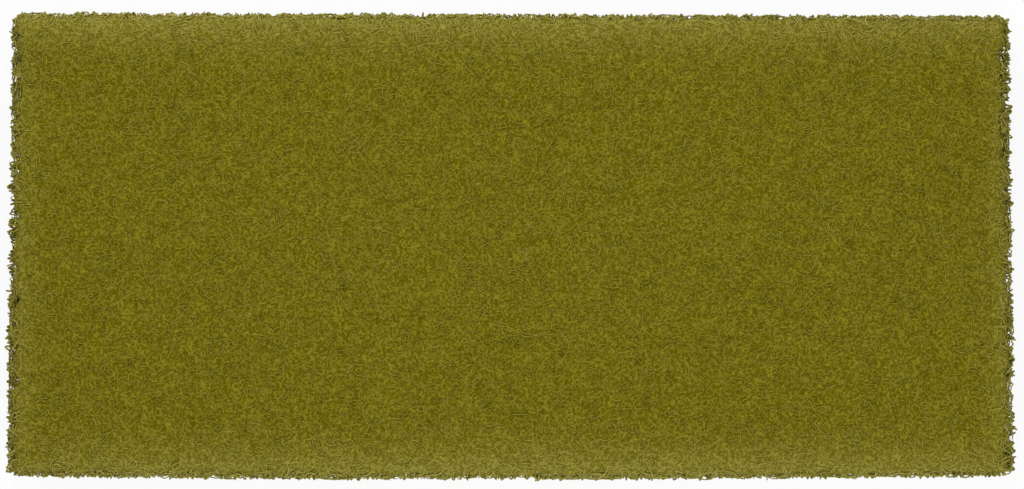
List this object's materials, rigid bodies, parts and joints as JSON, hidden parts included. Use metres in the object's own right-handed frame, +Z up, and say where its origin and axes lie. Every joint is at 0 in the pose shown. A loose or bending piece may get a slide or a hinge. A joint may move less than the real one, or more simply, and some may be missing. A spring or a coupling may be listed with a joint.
{
  "type": "nylon scouring pad",
  "caption": "Flat rectangular scouring pad of springy, tangled nylon fibre, with ragged cut edges, for scrubbing by hand or under a pad holder.",
  "frame": {"origin": "middle of the pad's bounding box, on the flat underside that it rests on", "axes": "+X along the length, +Y across the width, +Z up through the thickness"},
  "size_m": [0.2554, 0.1196, 0.0205],
  "materials": {
    "nylon_web": "coarse olive-brown nonwoven nylon fibre, matt with a faint sheen"
  },
  "bodies": {
    "root": {"scouring_pad": "nylon_web"}
  },
  "joints": []
}
